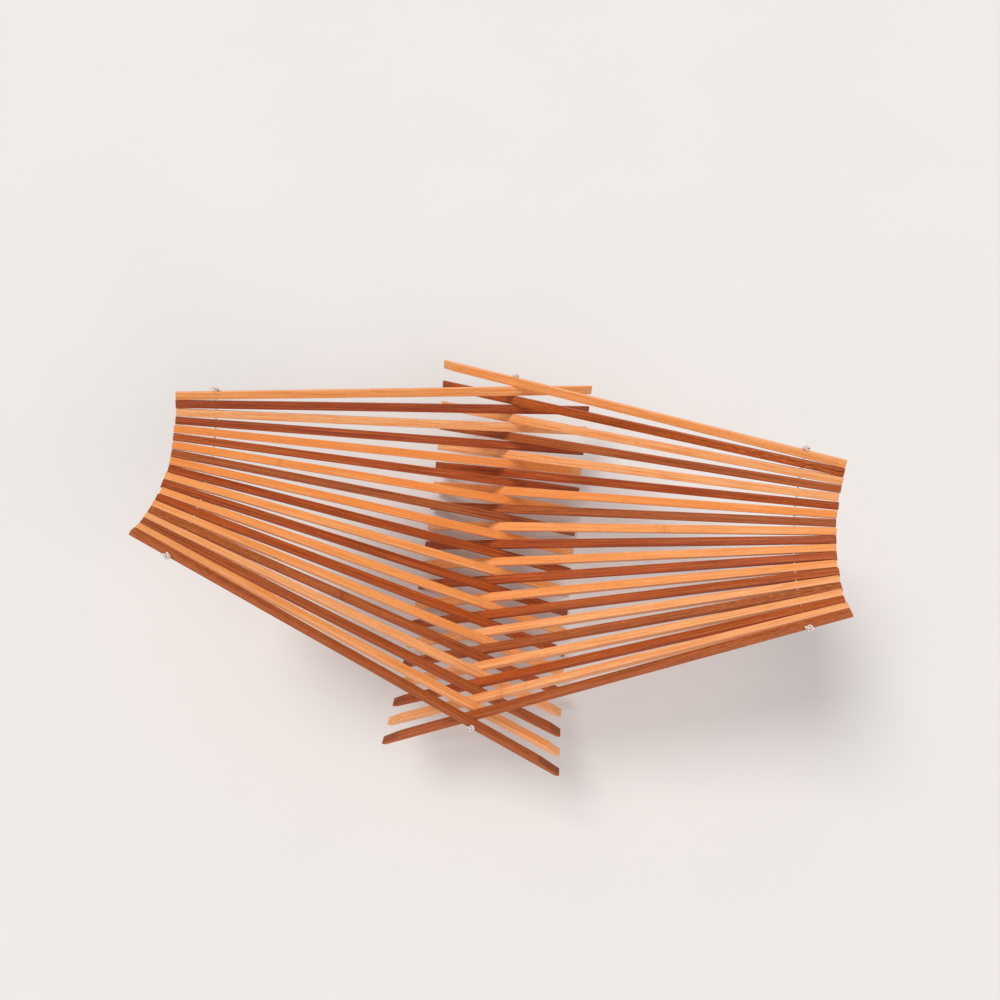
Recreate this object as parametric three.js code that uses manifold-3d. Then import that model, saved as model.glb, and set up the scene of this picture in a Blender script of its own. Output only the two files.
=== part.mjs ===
// Folding stick basket: two sets of slim sticks that cross one another alternately, like the
// fingers of two hands. Each stick is a long wing on one side and a short foot on the other. One
// cord threads all sticks where they cross, and one more threads the wing tips of each set. The
// tip cords are shorter than the crossing cord, so the crossing line curves up at both ends.
// Millimetres, +Z up. The origin is on the table, midway between the two lowest feet. The wings
// point to +X (right set) and -X (left set), and the sticks are stacked along Y.
import * as THREE from 'three';
import { ConvexGeometry } from 'three/addons/geometries/ConvexGeometry.js';
import { mergeVertices } from 'three/addons/utils/BufferGeometryUtils.js';
import Module from 'manifold-3d';

// Sticks
const STICK_LENGTH = 300;
const FOOT_LENGTH = 66.8;
const STICK_HEIGHT = 3.4;
const TIP_WIDTH = 4.7;
const EDGE_EASE = 0.45;
const FOOT_BEVEL = 10;
const TOE_THICKNESS = 1;
const SOLE_LENGTH = 2.4;
const STICKS_PER_SET = 20;

// Crossing and opening
const WING_RISE = THREE.MathUtils.degToRad(28.8);
const CROSSING_PITCH = 6.92;
const CROSSING_PLAY = 0.5;
const TIP_PLAY = 0.3;

// Cords and knots
const CORD_DIAMETER = 1;
const CORD_PLAY = 0.3;
const CORD_TAIL = 1;
const TIP_CORD_INSET = 24;
const KNOT_THICKNESS = 1.5;

// Mesh detail
const CORD_SIDES = 8;
const CENTRE_CORD_STEPS = 72;
const TIP_CORD_STEPS = 40;
const KNOT_SIDES = 8;
const KNOT_SEGMENTS = 12;
const CUT_OVERRUN = 5;

// Worked out from the sizes above
const wingLength = STICK_LENGTH - FOOT_LENGTH;
const rootWidth = CROSSING_PITCH - CROSSING_PLAY;
const halfHeight = STICK_HEIGHT / 2;
const sineRise = Math.sin(WING_RISE);
const cosineRise = Math.cos(WING_RISE);

// The tips of one set lie side by side, which fixes how tightly the crossing line curves: the
// wings lie on a cone, whose rulings close up from two crossing pitches to one tip pitch.
const tipShare = (TIP_WIDTH + TIP_PLAY) / (2 * CROSSING_PITCH);
const crossingRadius = (wingLength * sineRise + halfHeight * cosineRise) / (1 - tipShare);
const leanStep = CROSSING_PITCH / crossingRadius;
const lastLean = leanStep * (STICKS_PER_SET - 1 / 2);

// The sole is the small flat under each toe. The two middle soles are dressed to the table.
const toeHeight = SOLE_LENGTH * sineRise - halfHeight;
const soleDepth = FOOT_LENGTH * sineRise - toeHeight * cosineRise;
const middleLean = leanStep / 2;
const soleDrop = (crossingRadius + soleDepth) * Math.cos(middleLean) - rootWidth / 2 * Math.sin(middleLean);
const curveCentre = new THREE.Vector3(0, 0, soleDrop);

const wasm = await Module();
wasm.setup();

// A closed three.js geometry as a manifold solid.
function toSolid(geometry) {
  const bare = new THREE.BufferGeometry();
  bare.setAttribute('position', geometry.getAttribute('position').clone());
  bare.setIndex(geometry.index ? geometry.index.clone() : null);
  const welded = mergeVertices(bare);
  return new wasm.Manifold(new wasm.Mesh({
    numProp: 3,
    vertProperties: new Float32Array(welded.getAttribute('position').array),
    triVerts: new Uint32Array(welded.index.array),
  }));
}

// A manifold solid as a flat-shaded three.js geometry.
function toGeometry(solid) {
  const mesh = solid.getMesh();
  const geometry = new THREE.BufferGeometry();
  geometry.setAttribute('position', new THREE.BufferAttribute(mesh.vertProperties, 3));
  geometry.setIndex(new THREE.BufferAttribute(mesh.triVerts, 1));
  geometry.computeVertexNormals();
  return geometry;
}

// The cross-section of a stick at one place along it: a rectangle with eased edges.
function stickSection(along, width) {
  const side = width / 2;
  const corners = [
    [side, halfHeight - EDGE_EASE],
    [side - EDGE_EASE, halfHeight],
  ];
  const points = [];
  for (const [across, up] of corners) {
    for (const across2 of [across, -across]) {
      for (const up2 of [up, -up]) {
        points.push(new THREE.Vector3(along, across2, up2));
      }
    }
  }
  return points;
}

// A block that cuts away all that lies past the line from one point to another, to its left, in
// the stick's side view. Points are distances along the stick and above its middle.
function endCut(from, to) {
  const length = from.distanceTo(to) + 2 * CUT_OVERRUN;
  const block = new THREE.BoxGeometry(length, rootWidth + 2 * CUT_OVERRUN, length);
  const turn = Math.atan2(to.y - from.y, to.x - from.x);
  const middle = from.clone().lerp(to, 1 / 2);
  block.translate(0, 0, length / 2);
  block.rotateY(-turn);
  block.translate(middle.x, 0, middle.y);
  return toSolid(block);
}

// A hole across the stick for a cord, with flats clear of the cord all round.
function cordHole(along) {
  const radius = (CORD_DIAMETER / 2 + CORD_PLAY) / Math.cos(Math.PI / CORD_SIDES);
  const drill = new THREE.CylinderGeometry(radius, radius, rootWidth + 2 * CUT_OVERRUN, CORD_SIDES);
  drill.translate(along, 0, 0);
  return toSolid(drill);
}

// One stick along X with its crossing at the origin: square tip, foot cut to a long bevel above, a
// low upright toe and a small sole, both as the stick stands.
function stickSolid() {
  const bar = new ConvexGeometry([
    ...stickSection(wingLength, TIP_WIDTH),
    ...stickSection(0, rootWidth),
    ...stickSection(-FOOT_LENGTH, rootWidth),
  ]);
  const toe = new THREE.Vector2(-FOOT_LENGTH, toeHeight);
  const toeTop = toe.clone().add(new THREE.Vector2(sineRise, cosineRise).multiplyScalar(TOE_THICKNESS));
  const bevelTop = new THREE.Vector2(FOOT_BEVEL - FOOT_LENGTH, halfHeight);
  const soleBack = new THREE.Vector2(SOLE_LENGTH * cosineRise - FOOT_LENGTH, -halfHeight);
  return toSolid(bar)
    .subtract(endCut(toeTop, bevelTop))
    .subtract(endCut(toe, toeTop))
    .subtract(endCut(soleBack, toe))
    .subtract(cordHole(0))
    .subtract(cordHole(wingLength - TIP_CORD_INSET));
}

// All that lies below the table, as seen from a placed stick.
function belowTable(placed) {
  const slab = new THREE.BoxGeometry(2 * STICK_LENGTH, 2 * STICK_LENGTH, STICK_HEIGHT);
  slab.translate(0, 0, -halfHeight);
  slab.applyMatrix4(placed.matrixWorld.clone().invert());
  return toSolid(slab);
}

const material = {
  light: { color: 0xe8a260, roughness: 0.45, metalness: 0 },
  dark: { color: 0xa05a32, roughness: 0.42, metalness: 0 },
  cord: { color: 0xe9e4da, roughness: 0.6, metalness: 0 },
  knot: { color: 0xe4e0d6, roughness: 0.35, metalness: 0 },
};

function namedMesh(name, geometry, finish) {
  const mesh = new THREE.Mesh(geometry, new THREE.MeshStandardMaterial(finish));
  mesh.name = name;
  return mesh;
}

// A group that leans with the sticks at one place of the crossing curve.
function leaningGroup(lean) {
  const group = new THREE.Group();
  group.position.copy(curveCentre);
  group.rotation.x = lean;
  return group;
}

const basket = new THREE.Group();
const plainStick = stickSolid();
const plainGeometry = toGeometry(plainStick);
const stickCount = 2 * STICKS_PER_SET;

// Sticks from far to near: right, left, right, left and so on, light and dark by turns in a set.
for (let place = 0; place < stickCount; place += 1) {
  const isRight = place % 2 === 0;
  const number = Math.floor(place / 2) + 1;
  const side = isRight ? 'right' : 'left';
  const finish = number % 2 === 1 ? material.light : material.dark;
  const lean = lastLean - place * leanStep;
  const group = leaningGroup(lean);
  const stick = namedMesh(`stick_${side}_${String(number).padStart(2, '0')}`, plainGeometry.clone(), finish);
  stick.position.z = -crossingRadius;
  stick.rotation.set(0, isRight ? -WING_RISE : WING_RISE, isRight ? 0 : Math.PI);
  group.add(stick);
  basket.add(group);
  if (Math.abs(lean) < leanStep) {
    basket.updateMatrixWorld(true);
    stick.geometry = toGeometry(plainStick.subtract(belowTable(stick)));
  }
}

// A cord's course: an arc about the curve centre's X line, from the near end to the far end.
class CordArc extends THREE.Curve {
  constructor(across, radius, sweep) {
    super();
    this.across = across;
    this.radius = radius;
    this.sweep = sweep;
  }

  getPoint(share) {
    const lean = this.sweep * (2 * share - 1);
    const height = curveCentre.z - this.radius * Math.cos(lean);
    return new THREE.Vector3(this.across, this.radius * Math.sin(lean), height);
  }
}

function roundShape(diameter, sides) {
  const shape = new THREE.Shape();
  for (let corner = 0; corner < sides; corner += 1) {
    const angle = 2 * Math.PI * corner / sides;
    const x = diameter / 2 * Math.cos(angle);
    const y = diameter / 2 * Math.sin(angle);
    if (corner === 0) {
      shape.moveTo(x, y);
    } else {
      shape.lineTo(x, y);
    }
  }
  shape.closePath();
  return shape;
}

// A cord with a knot outside each outermost stick. The knots are rings that the cord fills.
function addCord(place, across, radius, stickWidth, steps) {
  const knotMiddle = stickWidth / 2 + CORD_PLAY + KNOT_THICKNESS / 2;
  const knotLean = lastLean + knotMiddle / radius;
  const endLean = knotLean + (KNOT_THICKNESS / 2 + CORD_TAIL) / radius;
  const course = new CordArc(across, radius, endLean);
  const cord = new THREE.ExtrudeGeometry(roundShape(CORD_DIAMETER, CORD_SIDES), {
    steps,
    bevelEnabled: false,
    extrudePath: course,
  });
  basket.add(namedMesh(`cord_${place}`, cord, material.cord));
  const ringRadius = CORD_DIAMETER / 2 + CORD_PLAY + KNOT_THICKNESS / 2;
  for (const [end, lean] of [['far', knotLean], ['near', -knotLean]]) {
    const ring = new THREE.TorusGeometry(ringRadius, KNOT_THICKNESS / 2, KNOT_SIDES, KNOT_SEGMENTS);
    ring.rotateX(Math.PI / 2);
    const knot = namedMesh(`knot_${place}_${end}`, ring, material.knot);
    const group = leaningGroup(lean);
    knot.position.set(across, 0, -radius);
    group.add(knot);
    basket.add(group);
  }
}

const tipReach = wingLength - TIP_CORD_INSET;
const tipAcross = tipReach * cosineRise;
const tipRadius = crossingRadius - tipReach * sineRise;
const tipHoleWidth = rootWidth + (TIP_WIDTH - rootWidth) * tipReach / wingLength;

addCord('centre', 0, crossingRadius, rootWidth, CENTRE_CORD_STEPS);
addCord('left', -tipAcross, tipRadius, tipHoleWidth, TIP_CORD_STEPS);
addCord('right', tipAcross, tipRadius, tipHoleWidth, TIP_CORD_STEPS);

export default basket;
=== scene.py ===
"""Looks of the folding stick basket, in metres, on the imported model's own frame.

Two sets of bamboo sticks, light and dark by turns, cross one another like the fingers of two
hands. Each stick is a long wing with a square tip and a short foot with a long bevel. Thin cords
thread the crossing and the wing tips, and end in small knots.
"""

import math

import bpy
import numpy as np
from mathutils import Matrix


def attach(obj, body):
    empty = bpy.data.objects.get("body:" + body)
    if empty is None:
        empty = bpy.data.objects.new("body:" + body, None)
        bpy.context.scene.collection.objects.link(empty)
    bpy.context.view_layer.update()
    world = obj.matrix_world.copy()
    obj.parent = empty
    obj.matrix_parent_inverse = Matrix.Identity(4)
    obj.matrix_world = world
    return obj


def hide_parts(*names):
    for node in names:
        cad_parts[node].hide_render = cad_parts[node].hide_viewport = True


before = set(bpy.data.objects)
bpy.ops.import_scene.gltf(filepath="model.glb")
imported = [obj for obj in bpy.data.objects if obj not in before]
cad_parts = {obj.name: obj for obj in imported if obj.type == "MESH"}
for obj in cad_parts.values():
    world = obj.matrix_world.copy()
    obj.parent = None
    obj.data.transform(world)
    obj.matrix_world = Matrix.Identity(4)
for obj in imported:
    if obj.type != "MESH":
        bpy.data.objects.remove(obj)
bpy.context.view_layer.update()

MM = 0.001

# Sticks, as in the solids
STICK_LENGTH = 300 * MM
FOOT_LENGTH = 66.8 * MM
STICK_HEIGHT = 3.4 * MM
TIP_WIDTH = 4.7 * MM
FOOT_BEVEL = 10 * MM
TOE_THICKNESS = 1 * MM
SOLE_LENGTH = 2.4 * MM
STICKS_PER_SET = 20
WING_RISE = math.radians(28.8)
CROSSING_PITCH = 6.92 * MM
CROSSING_PLAY = 0.5 * MM
TIP_PLAY = 0.3 * MM
TIP_CORD_INSET = 24 * MM

# Finer shape of the sticks, only seen: how much wider they are at the crossing and at the tip
SNUG = 0.2 * MM
TIP_SNUG = 0.12 * MM
HOLE_DIAMETER = 1.3 * MM
CORNER_RADIUS = 0.5 * MM
CORNER_LIMIT_SHARE = 0.9
END_EASE = 0.25 * MM
TOE_EASE_SHARE = 0.3

# Unevenness: how far and in how many waves the sides, the top and the line of a stick wander,
# how far its tip is lifted or lowered, and how much its length, bevel, tone and figure differ
SIDE_WANDER, SIDE_WAVES = 0.03 * MM, 6
TOP_WANDER, TOP_WAVES = 0.04 * MM, 5
LINE_WANDER, LINE_WAVES = 0.05 * MM, 3
TIP_LIFT = 0.35 * MM
LENGTH_TRIM = (-0.7 * MM, 0.3 * MM)
BEVEL_SPREAD = (0.92, 1.12)
TONE_SPREAD = 0.12
FIGURE_SPREAD = 0.35

# Threads: their map runs from 0 to the girth round them, and they end a little past the last stick
THREAD_DIAMETER = 1 * MM
THREAD_SPARE = 1.2 * MM
THREAD_GIRTH = 3

# Knots: for each of the two cut tails, how far it goes to the left and up, and its length
KNOT_THREAD = 1.15 * MM
KNOT_SIZE = 4.7 * MM
KNOT_DEPTH = 3 * MM
KNOT_TAILS = ((0.9, 0.5, 1.8 * MM), (0.5, -0.7, 1.08 * MM))
TAIL_START = 0.8
TAIL_FLATTENING = 0.6
TAIL_OUTWARD = 0.2
TAIL_CURL = 0.4 * MM

# Mesh detail
CORNER_STEPS = 4
FLAT_STEPS = 3
BEVEL_STEPS = 8
STATIONS = 72
THREAD_SIDES = 10
THREAD_STEPS = 5
KNOT_STEPS = 97
TAIL_STEPS = 9
SHARP_ANGLE = math.radians(38)

# Worked out, as in the solids
WING_LENGTH = STICK_LENGTH - FOOT_LENGTH
ROOT_WIDTH = CROSSING_PITCH - CROSSING_PLAY
HALF_HEIGHT = STICK_HEIGHT / 2
SINE_RISE = math.sin(WING_RISE)
COSINE_RISE = math.cos(WING_RISE)
TIP_SHARE = (TIP_WIDTH + TIP_PLAY) / (2 * CROSSING_PITCH)
CROSSING_RADIUS = (WING_LENGTH * SINE_RISE + HALF_HEIGHT * COSINE_RISE) / (1 - TIP_SHARE)
LEAN_STEP = CROSSING_PITCH / CROSSING_RADIUS
LAST_LEAN = LEAN_STEP * (STICKS_PER_SET - 1 / 2)
TOE_HEIGHT = SOLE_LENGTH * SINE_RISE - HALF_HEIGHT
SOLE_DEPTH = FOOT_LENGTH * SINE_RISE - TOE_HEIGHT * COSINE_RISE
CURVE_CENTRE = ((CROSSING_RADIUS + SOLE_DEPTH) * math.cos(LEAN_STEP / 2)
                - ROOT_WIDTH / 2 * math.sin(LEAN_STEP / 2))
TIP_REACH = WING_LENGTH - TIP_CORD_INSET
TIP_CORD_RADIUS = CROSSING_RADIUS - TIP_REACH * SINE_RISE

# How far the long bevel of a foot shows the look of cut ends, how far up a face has to look to
# belong to it, and the mark of a square end
BEVEL_SHARE = 0.6
BEVEL_FACING = 0.35
SQUARE_END = 2.0

# Where a stick's grain starts, in millimetres, so that no two look alike
GRAIN_SHIFT = 400

# The tone of each stick from far to near: pale, honey or orange; brown, russet or deep
TONE_SHARES = {"p": 0.0, "h": 0.5, "o": 1.0, "b": 0.0, "r": 0.5, "d": 1.0}
LEFT_TONES = "hdpdorobodhdhrhbpbhb"
RIGHT_TONES = "hrpbpdobhdhrhrpbprpb"

# The few sticks with a knuckle of the cane in them: where it is, as a share of the wing's length.
# That of the others would be far past the tip
KNUCKLES = {"right_19": 0.08, "left_16": 0.46, "left_07": 0.72, "right_09": 0.55,
            "left_12": -0.12, "right_12": -0.2}
NO_KNUCKLE = 4.0

# Sticks with a livelier figure than the others, most of all towards the tip
FIGURED = {"right_02", "right_16", "right_20", "left_16", "left_20"}

# Feet with a longer bevel than the others, and how much longer
LONG_BEVELS = {"left_20": 1.7, "right_20": 1.3, "left_16": 1.2}


def colour(red, green, blue):
    """A colour as it is seen, 0 to 255, as Blender's linear red, green, blue and alpha."""
    seen = np.array([red, green, blue]) / 255
    linear = np.where(seen <= 0.04045, seen / 12.92, ((seen + 0.055) / 1.055) ** 2.4)
    return (*linear.tolist(), 1.0)


# Shader maths

class Value:
    """An output socket that can be added, multiplied and so on, which adds Math nodes."""

    def __init__(self, paint, socket):
        self.paint = paint
        self.socket = socket

    def math(self, operation, first, second=0.0):
        return self.paint.math_node(operation, first, second)

    def __add__(self, other):
        return self.math("ADD", self, other)

    def __sub__(self, other):
        return self.math("SUBTRACT", self, other)

    def __rsub__(self, other):
        return self.math("SUBTRACT", other, self)

    def __mul__(self, other):
        return self.math("MULTIPLY", self, other)

    def __pow__(self, other):
        return self.math("POWER", self, other)

    def __abs__(self):
        return self.math("ABSOLUTE", self)

    def __mod__(self, other):
        return self.math("FLOORED_MODULO", self, other)

    __radd__ = __add__
    __rmul__ = __mul__


class Paint:
    """One material and its nodes."""

    def __init__(self, name):
        self.material = bpy.data.materials.new(name)
        self.material.use_nodes = True
        self.tree = self.material.node_tree
        self.tree.nodes.clear()

    def node(self, kind, settings=None, sockets=None, output=0):
        """One of the outputs of a new node with these settings and these inputs."""
        made = self.tree.nodes.new("ShaderNode" + kind)
        for key, value in (settings or {}).items():
            if key == "stops":
                self.set_stops(made.color_ramp, value)
            else:
                setattr(made, key, value)
        for key, value in (sockets or {}).items():
            if isinstance(value, Value):
                self.tree.links.new(value.socket, made.inputs[key])
            else:
                made.inputs[key].default_value = value
        return Value(self, made.outputs[output])

    def set_stops(self, ramp, stops):
        while len(ramp.elements) < len(stops):
            ramp.elements.new(1.0)
        for element, (place, shade) in zip(ramp.elements, stops):
            element.position = place
            element.color = shade

    def ramp(self, factor, stops):
        return self.node("ValToRGB", {"stops": stops}, {"Fac": factor})

    def mix(self, factor, first, second):
        """first at factor 0, second at factor 1, by the Mix node's sockets for colours."""
        settings = {"data_type": "RGBA", "blend_type": "MIX", "clamp_factor": True}
        return self.node("Mix", settings, {0: factor, 6: first, 7: second}, output=2)

    def step(self, value, low, high):
        """0 below low, 1 above high, and smooth between."""
        settings = {"interpolation_type": "SMOOTHSTEP"}
        return self.node("MapRange", settings, {0: value, 1: low, 2: high})

    def attribute(self, name):
        """A named number of the mesh, by the Attribute node's output for one number."""
        return self.node("Attribute", {"attribute_name": name}, output=2)

    def noise(self, place, scale, detail=2.0, roughness=0.5):
        sockets = {"Vector": place, "Scale": scale, "Detail": detail, "Roughness": roughness}
        return self.node("TexNoise", {"noise_dimensions": "3D"}, sockets)

    def math_node(self, operation, first, second):
        return self.node("Math", {"operation": operation}, {0: first, 1: second})

    def parts(self, vector):
        """The first two coordinates of a vector."""
        first = self.node("SeparateXYZ", {}, {"Vector": vector})
        return first, Value(self, first.socket.node.outputs[1])

    def stretched(self, place, along, across):
        """A place on the stick, in millimetres, scaled along and across the grain."""
        sockets = {"Vector": place, "Scale": (along, across, 1.0)}
        return self.node("Mapping", {"vector_type": "POINT"}, sockets)

    def layer(self, place, along, across, detail=2.0, roughness=0.5):
        """Noise that changes so often for each millimetre along and across the grain."""
        return self.noise(self.stretched(place, along, across), 1.0, detail, roughness)

    def stain(self, base, tint, mask, low, high, share):
        """base, with a share of tint over it where mask is high, and none where it is low."""
        return self.mix(self.step(mask, low, high) * share, base, tint)

    def hole_depth(self, along, height, flank):
        """1 inside the two drilled holes of a stick, 0 outside, on its sides only."""
        from_cord = (along * along + height * height) ** 0.5
        past_tip_cord = along - TIP_REACH / MM
        from_tip_cord = (past_tip_cord * past_tip_cord + height * height) ** 0.5
        nearest = self.math_node("MINIMUM", from_cord, from_tip_cord)
        radius = HOLE_DIAMETER / 2 / MM
        inside = 1.0 - self.step(nearest, radius * 0.9, radius * 1.15)
        return inside * self.step(flank, 0.8, 0.95)

    def cut_fibres(self, place):
        """1 on the dark dots of cut fibres, 0 between them."""
        cell = self.node("TexVoronoi", {"feature": "F1"}, {"Vector": place, "Scale": 2.6})
        return 1.0 - self.step(cell, 0.16, 0.36)

    def finish(self, base, roughness, bump, **constants):
        sockets = {"Base Color": base, "Roughness": roughness, "Normal": bump}
        sockets.update({name.replace("_", " "): value for name, value in constants.items()})
        surface = self.node("BsdfPrincipled", {}, sockets)
        ending = self.tree.nodes.new("ShaderNodeOutputMaterial")
        self.tree.links.new(surface.socket, ending.inputs["Surface"])
        return self.material


LACQUER = {"Coat_Weight": 0.05, "Coat_Roughness": 0.3, "Specular_IOR_Level": 0.2}


def bamboo(name, tones, streak, pale_figure_and_sheen, fleck_and_hole_shade, end_base, end_fleck, edge, wear_and_highlight, flank_share,
           line_share):
    """Lacquered bamboo: long fibres and lines, short flecks and pores, pale figure that is partly
    painted sheen, rounded corners lighter by wear and painted highlight, painted shade in the
    drilled holes, a knuckle in a few sticks, and speckled end grain.

    The map "grain" gives millimetres along and round the stick, shifted for each stick. The map
    "side" gives millimetres from the crossing, and above the stick's middle."""
    paint = Paint(name)
    place = paint.node("UVMap", {"uv_map": "grain"})
    along, height = paint.parts(paint.node("UVMap", {"uv_map": "side"}))
    tone, end_grain, corner, flank, figure, knuckle = [
        paint.attribute(key)
        for key in ("tone", "end_grain", "corner", "flank", "figure", "knuckle")]
    knuckle = abs(knuckle)
    figure = figure * (0.3 + paint.step(along, 120.0, 190.0) * 0.7)
    elsewhere = {"Vector": place, "Location": (913, 377, 0)}
    shifted = paint.node("Mapping", {"vector_type": "POINT"}, elsewhere)

    broad = paint.layer(place, 0.014, 0.3)
    fibre = paint.layer(place, 0.022, 0.9, 3.0, 0.6)
    hair = paint.layer(place, 0.06, 3.6, 3.0, 0.6)
    dash = paint.layer(place, 0.14, 2.4)
    rings = paint.layer(place, 0.3, 1.6)
    pale_fibre = paint.layer(shifted, 0.018, 0.8, 3.0, 0.6)
    patches = paint.layer(shifted, 0.2, 1.2, 3.0, 0.65)
    lines = paint.layer(shifted, 0.007, 1.25, 2.0, 0.6)
    pores = paint.layer(shifted, 0.3, 2.6)
    swirl = paint.layer(shifted, 0.45, 1.1, 3.0, 0.6)

    base = paint.ramp(tone + (broad - 0.5) * 1.3, tones)
    # The pale colour laid on in fibres, patches and between lines and pores is partly the cane's
    # pale figure and partly painted sheen.
    base = paint.stain(base, pale_figure_and_sheen, pale_fibre, 0.48, 0.7, 0.7)
    streaks = paint.step(fibre, 0.45, 0.62) * 0.75 + paint.step(hair, 0.46, 0.66) * 0.45
    base = paint.mix(streaks, base, streak)
    base = paint.stain(base, pale_figure_and_sheen, patches, 0.48, 0.62, figure * 0.8)
    base = paint.stain(base, fleck_and_hole_shade, dash, 0.58, 0.72, 0.5 + figure * 0.3)
    base = paint.stain(base, fleck_and_hole_shade, lines, 0.53, 0.61, line_share)
    base = paint.stain(base, pale_figure_and_sheen, 1.0 - lines, 0.54, 0.64, line_share)
    base = paint.stain(base, fleck_and_hole_shade, pores, 0.54, 0.68, 0.2 + figure * 0.25)
    base = paint.stain(base, pale_figure_and_sheen, 1.0 - pores, 0.54, 0.68, 0.2)
    base = paint.mix(flank * flank_share, base, edge)
    # The rounded corners are lightened with the edge colour: partly wear, partly painted
    # highlight.
    base = paint.stain(base, edge, broad + hair, 0.6, 1.0, corner * wear_and_highlight)

    near_knuckle = 1.0 - paint.step(knuckle, 1.5, 8.0)
    base = paint.stain(base, streak, swirl, 0.46, 0.6, near_knuckle * 0.65)
    band = (1.0 - paint.step(knuckle + swirl * 4.0, 1.0, 4.5)) * paint.step(swirl, 0.3, 0.5)
    base = paint.mix(band * 0.35, base, fleck_and_hole_shade)
    # The drilled holes are not cut in the mesh: painted shade darkens them, and the bump dents
    # them.
    hole_shade_and_dent = paint.hole_depth(along, height, flank)
    base = paint.mix(hole_shade_and_dent * 0.8, base, fleck_and_hole_shade)

    # Round dots on the square ends, and long ones where the bevel cuts the fibres slantwise
    square_cut = paint.step(end_grain, 1.5, 1.9)
    dots = paint.cut_fibres(place) * square_cut
    dots = dots + paint.cut_fibres(paint.stretched(place, 0.22, 0.8)) * (1.0 - square_cut)
    end = paint.mix(dots * 0.7 + paint.step(rings, 0.42, 0.66) * 0.4, end_base, end_fleck)
    base = paint.mix(end_grain, base, end)

    rough = 0.44 + hair * 0.2 + end_grain * 0.12
    relief = fibre * 0.5 + hair * 0.35 - dots * end_grain * 0.35 + band * 0.5 - hole_shade_and_dent * 3.0
    bump = paint.node("Bump", {}, {"Strength": 0.35, "Distance": 0.12 * MM, "Height": relief})
    return paint.finish(base, rough, bump, **LACQUER)


def thread(name, base, shade, roughness):
    """Twisted white thread: fine turns run slantwise round it, with painted shade in the grooves
    between them and a little grime.
    """
    paint = Paint(name)
    place = paint.node("UVMap", {"uv_map": "grain"})
    along, around = paint.parts(place)
    turn = abs(((along * 1.6 + around * 0.9) % 1.0) - 0.5) * 2.0
    grime = paint.noise(place, 1.2, 2.0)
    # Painted shade in the grooves between the turns, and grime from the noise.
    tint = paint.mix(paint.step(turn, 0.55, 1.0) * 0.5 + grime * 0.25, base, shade)
    bump = paint.node("Bump", {}, {"Strength": 0.5, "Distance": 0.08 * MM, "Height": 1.0 - turn})
    return paint.finish(tint, roughness + grime * 0.12, bump, Coat_Weight=0.1)


light_bamboo = bamboo(
    "light bamboo",
    [(0.0, colour(252, 184, 126)), (0.5, colour(249, 164, 92)), (1.0, colour(245, 142, 58))],
    streak=colour(230, 136, 64), pale_figure_and_sheen=colour(253, 188, 128), fleck_and_hole_shade=colour(176, 98, 48),
    end_base=colour(236, 176, 122), end_fleck=colour(158, 90, 48),
    edge=colour(248, 186, 142), wear_and_highlight=0.5, flank_share=0.4, line_share=0.12)
dark_bamboo = bamboo(
    "dark bamboo",
    [(0.0, colour(174, 92, 50)), (0.5, colour(188, 79, 18)), (1.0, colour(163, 56, 6))],
    streak=colour(132, 56, 14), pale_figure_and_sheen=colour(214, 122, 58), fleck_and_hole_shade=colour(80, 36, 14),
    end_base=colour(148, 80, 48), end_fleck=colour(62, 28, 16),
    edge=colour(186, 102, 66), wear_and_highlight=0.4, flank_share=0.25, line_share=0.38)
cord_thread = thread("cord thread", colour(250, 245, 236), colour(216, 204, 186), 0.5)
knot_thread = thread("knot thread", colour(238, 222, 212), colour(180, 152, 138), 0.25)


# Shapes

def make_piece(name, points, faces, maps, attributes, material):
    """A mesh piece from its points, faces, named maps and named numbers."""
    mesh = bpy.data.meshes.new(name)
    mesh.from_pydata(points.tolist(), [], faces)
    for key, values in maps.items():
        layer = mesh.uv_layers.new(name=key)
        layer.data.foreach_set("uv", np.asarray(values, np.float32).ravel())
    for key, (domain, values) in attributes.items():
        made = mesh.attributes.new(key, "FLOAT", domain)
        made.data.foreach_set("value", np.asarray(values, np.float32).ravel())
    mesh.materials.append(material)
    mesh.shade_smooth()
    mesh.set_sharp_from_angle(angle=SHARP_ANGLE)
    piece = bpy.data.objects.new(name, mesh)
    bpy.context.scene.collection.objects.link(piece)
    return piece


def tube_faces(rings, sides):
    """Quads between neighbouring rings of points, and one face that closes each end."""
    ring, side = np.meshgrid(np.arange(rings - 1), np.arange(sides), indexing="ij")
    following = (side + 1) % sides
    quads = np.stack([ring * sides + side, ring * sides + following,
                      (ring + 1) * sides + following, (ring + 1) * sides + side], -1)
    first = np.arange(sides)[::-1]
    last = (rings - 1) * sides + np.arange(sides)
    return quads.reshape(-1, 4).tolist() + [first.tolist(), last.tolist()]


def tube_grain(along, around, rim):
    """The map for tube_faces: along and round for the quads, across and up for the end faces."""
    rings, sides = len(along), len(around) - 1
    ring, side = np.meshgrid(np.arange(rings - 1), np.arange(sides), indexing="ij")
    corners = np.stack([np.stack([along[ring], around[side]], -1),
                        np.stack([along[ring], around[side + 1]], -1),
                        np.stack([along[ring + 1], around[side + 1]], -1),
                        np.stack([along[ring + 1], around[side]], -1)], 2)
    return np.concatenate([corners.reshape(-1, 2), rim[0][::-1], rim[1]])


def quad_corners(by_quad, ends, sides):
    """A number for each quad, and one for each end face, spread over the faces' corners."""
    return np.concatenate([np.repeat(by_quad.ravel(), 4), np.repeat(ends, sides)])


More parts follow.
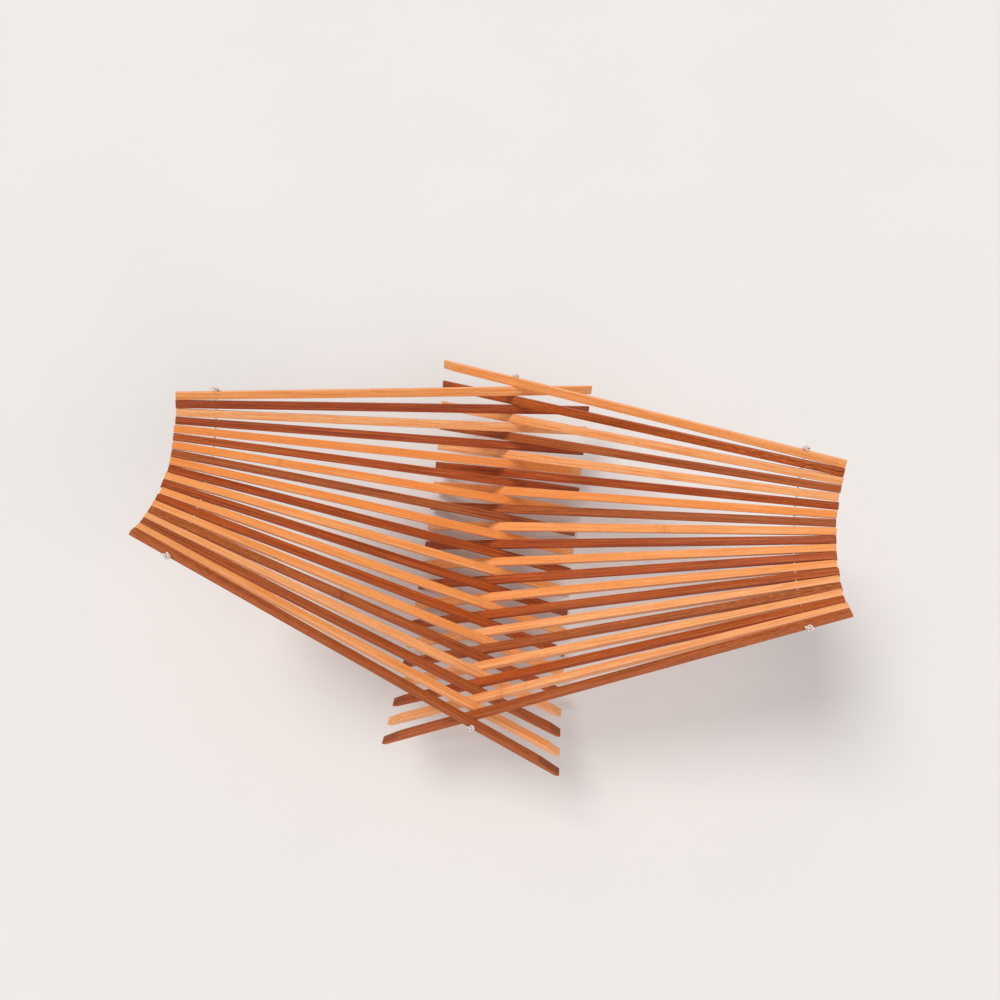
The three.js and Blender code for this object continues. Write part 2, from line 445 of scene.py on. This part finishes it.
def profile():
    """A round-cornered rectangle, anticlockwise from the middle of its right side.

    Each point is a share of the straight half width and half height, plus a share of the
    corner radius. The last column says how far it is a rounded corner, 0 to 1."""
    rows = []
    turns = np.linspace(0, math.pi / 2, CORNER_STEPS + 1)
    for quarter, (right, top) in enumerate([(1, 1), (-1, 1), (-1, -1), (1, -1)]):
        for turn in turns + quarter * math.pi / 2:
            rows.append((right, top, math.cos(turn), math.sin(turn), 1.0))
        after = [(-1, 1), (-1, -1), (1, -1), (1, 1)][quarter]
        facing = turns[-1] + quarter * math.pi / 2
        for share in np.linspace(0, 1, FLAT_STEPS + 1)[1:-1]:
            rows.append((right + (after[0] - right) * share, top + (after[1] - top) * share,
                         math.cos(facing), math.sin(facing), 0.0))
    return np.array(rows)


FLAT_ACROSS, FLAT_UP, ROUND_ACROSS, ROUND_UP, ROUNDED = profile().T


def stick_stations(bevel_length):
    """Places along a stick from toe to tip, close together where its ends change."""
    bevel_end = -FOOT_LENGTH + bevel_length
    sole_end = -FOOT_LENGTH + SOLE_LENGTH * COSINE_RISE
    ends = [-FOOT_LENGTH, -FOOT_LENGTH + END_EASE, WING_LENGTH - END_EASE, WING_LENGTH]
    bevel = np.linspace(-FOOT_LENGTH + 2 * END_EASE, bevel_end, BEVEL_STEPS)
    shaft = np.linspace(bevel_end + 2 * END_EASE, WING_LENGTH - 2 * END_EASE, STATIONS)
    return np.unique(np.concatenate([ends, [sole_end], bevel, shaft]))


def wander(places, rng, size, waves):
    """A slow random unevenness: a few sine waves of falling size."""
    total = np.zeros_like(places)
    for wave in range(1, waves + 1):
        phase = rng.uniform(0, 2 * math.pi)
        total += np.sin(2 * math.pi * wave * places / STICK_LENGTH + phase) * rng.normal() / wave
    return size * total


def set_axes(lean, right):
    """Unit vectors along a wing, across it and up from it, at a lean of the crossing curve."""
    side = 1 if right else -1
    along = np.array([side * COSINE_RISE, -SINE_RISE * math.sin(lean), SINE_RISE * math.cos(lean)])
    across = np.array([0, side * math.cos(lean), side * math.sin(lean)])
    up = np.array([-side * SINE_RISE, -COSINE_RISE * math.sin(lean), COSINE_RISE * math.cos(lean)])
    return along, across, up


def on_arc(radius, lean, across=0.0):
    """A point at a distance from the curve centre's X line, at a lean."""
    lean = np.asarray(lean, float)
    return np.stack([np.full_like(lean, across), radius * np.sin(lean),
                     CURVE_CENTRE - radius * np.cos(lean)], -1)


def stick_sections(places, bevel_length, rng):
    """How far across and how far up each point of the profile lies, from toe to tip.

    Half width: even to the crossing, then a straight taper. Top: half the height, less the
    bevel's straight slope at the foot. Underside: minus half the height, less the sole's slope."""
    reach = np.clip(places / WING_LENGTH, 0, 1)
    root_width, tip_width = ROOT_WIDTH + SNUG, TIP_WIDTH + TIP_SNUG
    half_width = (root_width + (tip_width - root_width) * reach) / 2
    half_width = half_width - abs(wander(places, rng, SIDE_WANDER, SIDE_WAVES))
    from_toe = places + FOOT_LENGTH
    toe_top = TOE_HEIGHT + TOE_THICKNESS * COSINE_RISE
    bevel = toe_top + (HALF_HEIGHT - toe_top) * from_toe / bevel_length
    sole = TOE_HEIGHT - (HALF_HEIGHT + TOE_HEIGHT) * from_toe / (SOLE_LENGTH * COSINE_RISE)
    top = np.minimum(HALF_HEIGHT, bevel) + wander(places, rng, TOP_WANDER, TOP_WAVES)
    bottom = np.maximum(-HALF_HEIGHT, sole)
    at_end = (places < -FOOT_LENGTH + END_EASE / 2) | (places > WING_LENGTH - END_EASE / 2)
    ease = np.where(at_end, END_EASE, 0) * np.where(places < 0, TOE_EASE_SHARE, 1.0)
    half_width = half_width - ease
    half_tall = (top - bottom) / 2 - ease
    radius = np.minimum(CORNER_RADIUS, np.minimum(half_tall, half_width) * CORNER_LIMIT_SHARE)
    side = FLAT_ACROSS * (half_width - radius)[:, None] + ROUND_ACROSS * radius[:, None]
    tall = FLAT_UP * (half_tall - radius)[:, None] + ROUND_UP * radius[:, None]
    return side, tall + ((top + bottom) / 2)[:, None]


def stick_maps(places, side, tall, shift):
    """The maps "grain", which is shifted, and "side", in millimetres, for one stick."""
    nominal = np.stack([FLAT_ACROSS * ROOT_WIDTH / 2 + ROUND_ACROSS * CORNER_RADIUS,
                        FLAT_UP * HALF_HEIGHT + ROUND_UP * CORNER_RADIUS], -1)
    steps = np.linalg.norm(np.roll(nominal, -1, 0) - nominal, axis=1)
    around = np.concatenate([[0], np.cumsum(steps)]) / MM
    level = np.concatenate([nominal[:, 1], nominal[:1, 1]]) / MM
    rims = [np.stack([side[ring], tall[ring]], -1) / MM for ring in (0, -1)]
    shifted_rims = [rim + shift for rim in rims]
    return {"grain": tube_grain(places / MM + shift[0], around + shift[1], shifted_rims),
            "side": tube_grain(places / MM, level, rims)}


def stick_attributes(places, tone, figure, knuckle_at, bevel_length):
    """The numbers that the bamboo reads: by point, and for cut ends by face corner."""
    rings, sides = len(places), len(ROUNDED)
    facing = np.arctan2(ROUND_UP, ROUND_ACROSS)
    is_top = np.sin(facing) > BEVEL_FACING
    from_toe = places + FOOT_LENGTH
    in_bevel = (from_toe[:-1] + from_toe[1:]) / 2 < bevel_length
    bevel_share = min(1.0, BEVEL_SHARE * bevel_length / FOOT_BEVEL)
    on_bevel = in_bevel[:, None] & (is_top & np.roll(is_top, -1))[None, :]
    is_end = np.where(on_bevel, bevel_share, 0.0)
    return {
        "tone": ("POINT", np.full(rings * sides, tone)),
        "figure": ("POINT", np.full(rings * sides, figure)),
        "knuckle": ("POINT", np.repeat((places - knuckle_at) / MM, sides)),
        "corner": ("POINT", np.tile(ROUNDED * np.sin(2 * facing) ** 2, rings)),
        "flank": ("POINT", np.tile(np.abs(np.cos(facing)) ** 2, rings)),
        "end_grain": ("CORNER", quad_corners(is_end, [SQUARE_END, SQUARE_END], sides)),
    }


def stick(name, lean, right, tone, knuckle_at, figure, bevel_length, tip_lift, rng):
    """One stick: the round-cornered rectangle carried from toe to tip, with a slight bow. The
    middle soles are dressed to the table."""
    places = stick_stations(bevel_length)
    trim = rng.uniform(*LENGTH_TRIM)
    side, tall = stick_sections(places, bevel_length, rng)
    reach = np.clip(places / WING_LENGTH, 0, 1)
    bow = tip_lift * reach ** 2 + wander(places, rng, LINE_WANDER, LINE_WAVES) * reach
    along, across, up = set_axes(lean, right)
    reached = places + trim * reach
    points = (on_arc(CROSSING_RADIUS, lean) + reached[:, None, None] * along
              + side[..., None] * across + (tall + bow[:, None])[..., None] * up)
    points[..., 2] = np.maximum(points[..., 2], 0)
    maps = stick_maps(places, side, tall, rng.uniform(0, GRAIN_SHIFT, 2))
    attributes = stick_attributes(places, tone, figure, knuckle_at, bevel_length)
    material = light_bamboo if int(name[-2:]) % 2 else dark_bamboo
    faces = tube_faces(len(places), len(ROUNDED))
    return make_piece(name, points.reshape(-1, 3), faces, maps, attributes, material)


def path_tube(path, radius, sides):
    """A round tube round a path. Each ring lies square to the path, turned as little as it can."""
    ahead = np.gradient(path, axis=0)
    ahead /= np.linalg.norm(ahead, axis=1, keepdims=True)
    first = np.cross(ahead[0], np.where(np.abs(ahead[0]).argmin() == np.arange(3), 1.0, 0.0))
    normals = [first / np.linalg.norm(first)]
    for direction in ahead[1:]:
        carried = normals[-1] - direction * np.dot(normals[-1], direction)
        normals.append(carried / np.linalg.norm(carried))
    normals = np.array(normals)
    binormals = np.cross(ahead, normals)
    turn = 2 * math.pi * np.arange(sides) / sides
    spokes = (np.cos(turn)[None, :, None] * normals[:, None]
              + np.sin(turn)[None, :, None] * binormals[:, None])
    return path[:, None] + spokes * radius


def tubes(name, paths, diameter, material):
    """One piece made of several round tubes. The map "grain" gives millimetres along a tube."""
    sides = THREAD_SIDES
    points, faces, grain, count = [], [], [], 0
    for path in paths:
        rings = path_tube(path, diameter / 2, sides)
        lengths = np.linalg.norm(np.diff(path, axis=0), axis=1)
        along = np.concatenate([[0], np.cumsum(lengths)]) / MM
        around = np.linspace(0, THREAD_GIRTH, sides + 1)
        rim = np.stack([np.cos(np.arange(sides)), np.sin(np.arange(sides))], -1)
        points.append(rings.reshape(-1, 3))
        faces += [[corner + count for corner in face] for face in tube_faces(len(path), sides)]
        grain.append(tube_grain(along, around, [rim, rim]))
        count += len(path) * sides
    maps = {"grain": np.concatenate(grain)}
    return make_piece(name, np.concatenate(points), faces, maps, {}, material)


def knot(name, centre, outward, up):
    """A round knot pulled tight, with two cut tails to the left: a closed curve on a ring,
    x = (2 + cos 3t) cos 2t, y = (2 + cos 3t) sin 2t, with a depth of sin 3t along the cord."""
    outward = outward / np.linalg.norm(outward)
    sideways = np.cross(outward, up)
    turn = np.linspace(0, 2 * math.pi, KNOT_STEPS)
    ring = (2 + np.cos(3 * turn)) / 3
    scale = (KNOT_SIZE - KNOT_THREAD) / 2
    depth = (KNOT_DEPTH - KNOT_THREAD) / 2
    loop = (centre + (ring * np.cos(2 * turn))[:, None] * sideways * scale
            + (ring * np.sin(2 * turn))[:, None] * up * scale
            + np.sin(3 * turn)[:, None] * outward * depth)
    left = np.array([-1.0, 0.0, 0.0])
    run = np.linspace(0, 1, TAIL_STEPS)[:, None]
    tails = []
    for aside, rise, length in KNOT_TAILS:
        start = centre + scale * (aside * left + rise * up) * TAIL_START
        aim = aside * left + rise * up * TAIL_FLATTENING + TAIL_OUTWARD * outward
        tails.append(start + aim * run * length + outward * run ** 2 * TAIL_CURL)
    return tubes(name, [loop, *tails], KNOT_THREAD, knot_thread)


# The basket

def set_name(place):
    return "right" if place % 2 == 0 else "left"


def add_sticks():
    """All sticks from far to near, each on its own body."""
    rng = np.random.default_rng(7)
    for place in range(2 * STICKS_PER_SET):
        right = place % 2 == 0
        number = place // 2 + 1
        label = f"{set_name(place)}_{number:02d}"
        tones = RIGHT_TONES if right else LEFT_TONES
        tone = TONE_SHARES[tones[number - 1]] + rng.uniform(-TONE_SPREAD, TONE_SPREAD)
        knuckle_at = KNUCKLES.get(label, NO_KNUCKLE) * WING_LENGTH
        figure = 1.0 if label in FIGURED else rng.uniform(0.0, FIGURE_SPREAD)
        bevel_length = FOOT_BEVEL * LONG_BEVELS.get(label, rng.uniform(*BEVEL_SPREAD))
        tip_lift = rng.uniform(-TIP_LIFT, TIP_LIFT)
        lean = LAST_LEAN - place * LEAN_STEP
        piece = stick(f"bamboo_{label}", lean, right, tone, knuckle_at, figure, bevel_length,
                      tip_lift, rng)
        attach(piece, f"stick_{label}")
        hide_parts(f"stick_{label}")


def thread_course(lean, radius, width, half_gap, is_first, is_last, across=0.0):
    """The course of a cord through one stick: midway to the next ones, or a little past an end."""
    spare = (width / 2 + THREAD_SPARE) / radius
    near = spare if is_last else half_gap
    far = spare if is_first else half_gap
    return on_arc(radius, np.linspace(lean - near, lean + far, THREAD_STEPS), across)


def add_threads():
    """The three cords, cut midway between sticks so that each stick carries its own lengths."""
    last = 2 * STICKS_PER_SET - 1
    for place in range(last + 1):
        side = set_name(place)
        label = f"{side}_{place // 2 + 1:02d}"
        lean = LAST_LEAN - place * LEAN_STEP
        centre = thread_course(lean, CROSSING_RADIUS, ROOT_WIDTH, LEAN_STEP / 2,
                               place == 0, place == last)
        across = TIP_REACH * COSINE_RISE * (1 if side == "right" else -1)
        tip = thread_course(lean, TIP_CORD_RADIUS, TIP_WIDTH, LEAN_STEP,
                            place < 2, place > last - 2, across)
        piece = tubes(f"cord_in_{label}", [centre, tip], THREAD_DIAMETER, cord_thread)
        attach(piece, f"stick_{label}")
        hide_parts("cord_centre", f"cord_{side}")


def add_knots():
    """One knot outside each outermost stick, on each of the three cords."""
    count = STICKS_PER_SET
    ends = {
        "centre": (0.0, CROSSING_RADIUS, ROOT_WIDTH, "right_01", f"left_{count}"),
        "left": (-1.0, TIP_CORD_RADIUS, TIP_WIDTH, "left_01", f"left_{count}"),
        "right": (1.0, TIP_CORD_RADIUS, TIP_WIDTH, "right_01", f"right_{count}"),
    }
    for cord, (side, radius, width, far, near) in ends.items():
        for end, label in (("far", far), ("near", near)):
            number = int(label[-2:])
            place = 2 * number - (2 if label.startswith("right") else 1)
            lean = LAST_LEAN - place * LEAN_STEP
            way = 1 if end == "far" else -1
            across = side * TIP_REACH * COSINE_RISE
            outward = way * np.array([0, math.cos(lean), math.sin(lean)])
            up = np.array([0, -math.sin(lean), math.cos(lean)])
            centre = on_arc(radius, lean, across) + outward * (width / 2 + KNOT_DEPTH / 2)
            piece = knot(f"tied_{cord}_{end}", centre, outward, up)
            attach(piece, f"stick_{label}")
            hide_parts(f"knot_{cord}_{end}")


# The studio

VIEW_PITCH = math.radians(69.86)
VIEW_YAW = math.radians(6.83)
VIEW_TARGET = np.array([-2.58, 45.8, 33.17]) * MM
VIEW_DISTANCE = 569.5 * MM
FOCAL_PIXELS = 741
PICTURE_PIXELS = 1000
SENSOR = 36.0
FLOOR_REACH = 12.0
SKY_STRENGTH = 0.55
SKY_SEEN_BRIGHTER = 0.33


def add_camera():
    """The photograph's view: steeply down, turned a little to the left."""
    cosine, sine = math.cos(VIEW_YAW), math.sin(VIEW_YAW)
    level = math.cos(VIEW_PITCH)
    ahead = np.array([-sine * level, cosine * level, -math.sin(VIEW_PITCH)])
    right = np.array([cosine, sine, 0.0])
    up = np.cross(right, ahead)
    spot = VIEW_TARGET - ahead * VIEW_DISTANCE
    rows = np.column_stack([right, up, -ahead, spot])
    data = bpy.data.cameras.new("camera")
    data.sensor_width = SENSOR
    data.lens = SENSOR * FOCAL_PIXELS / PICTURE_PIXELS
    data.clip_start = 10 * MM
    camera = bpy.data.objects.new("camera", data)
    camera.matrix_world = Matrix([*rows.tolist(), [0, 0, 0, 1]])
    bpy.context.scene.collection.objects.link(camera)
    bpy.context.scene.camera = camera


def add_lamp(name, back, angle, strength, tint):
    """A soft, even lamp far away, in the direction of back."""
    data = bpy.data.lights.new(name, "SUN")
    data.angle = math.radians(angle)
    data.energy = strength
    data.color = tint
    lamp = bpy.data.objects.new(name, data)
    back = np.array(back) / np.linalg.norm(back)
    right = np.cross([0, 1, 0.01], back)
    right = right / np.linalg.norm(right)
    rows = np.column_stack([right, np.cross(back, right), back, back])
    lamp.matrix_world = Matrix([*rows.tolist(), [0, 0, 0, 1]])
    bpy.context.scene.collection.objects.link(lamp)


def add_studio():
    """A pale floor, a soft lamp to the left, a weaker one to the right and an even sky, which the
    camera sees a little brighter than it shines."""
    reach = FLOOR_REACH
    corners = [(-reach, -reach, 0), (reach, -reach, 0), (reach, reach, 0), (-reach, reach, 0)]
    mesh = bpy.data.meshes.new("floor")
    mesh.from_pydata(corners, [], [(0, 1, 2, 3)])
    floor = bpy.data.objects.new("floor", mesh)
    bpy.context.scene.collection.objects.link(floor)
    paint = Paint("floor")
    place = paint.node("TexCoord", output=3)
    mottle = paint.noise(place, 6.0, 3.0)
    tint = paint.mix(mottle, colour(230, 227, 224), colour(226, 223, 220))
    bump = paint.node("Bump", {}, {"Strength": 0.02, "Distance": MM, "Height": mottle})
    mesh.materials.append(paint.finish(tint, 0.85 + mottle * 0.05, bump))

    add_lamp("key", back=(-0.5, 0.3, 0.95), angle=25, strength=1.66, tint=(1.0, 0.97, 0.93))
    add_lamp("fill", back=(0.7, -0.5, 0.65), angle=45, strength=0.85, tint=(1.0, 0.98, 0.96))
    world = bpy.data.worlds.new("sky")
    bpy.context.scene.world = world
    world.use_nodes = True
    sky = world.node_tree.nodes["Background"]
    sky.inputs["Color"].default_value = colour(246, 246, 250)
    seen = world.node_tree.nodes.new("ShaderNodeLightPath")
    strength = world.node_tree.nodes.new("ShaderNodeMath")
    strength.operation = "MULTIPLY_ADD"
    world.node_tree.links.new(seen.outputs["Is Camera Ray"], strength.inputs[0])
    strength.inputs[1].default_value = SKY_SEEN_BRIGHTER
    strength.inputs[2].default_value = SKY_STRENGTH
    world.node_tree.links.new(strength.outputs[0], sky.inputs["Strength"])


add_camera()
add_sticks()
add_threads()
add_knots()
add_studio()
bpy.context.scene.view_settings.view_transform = "Standard"
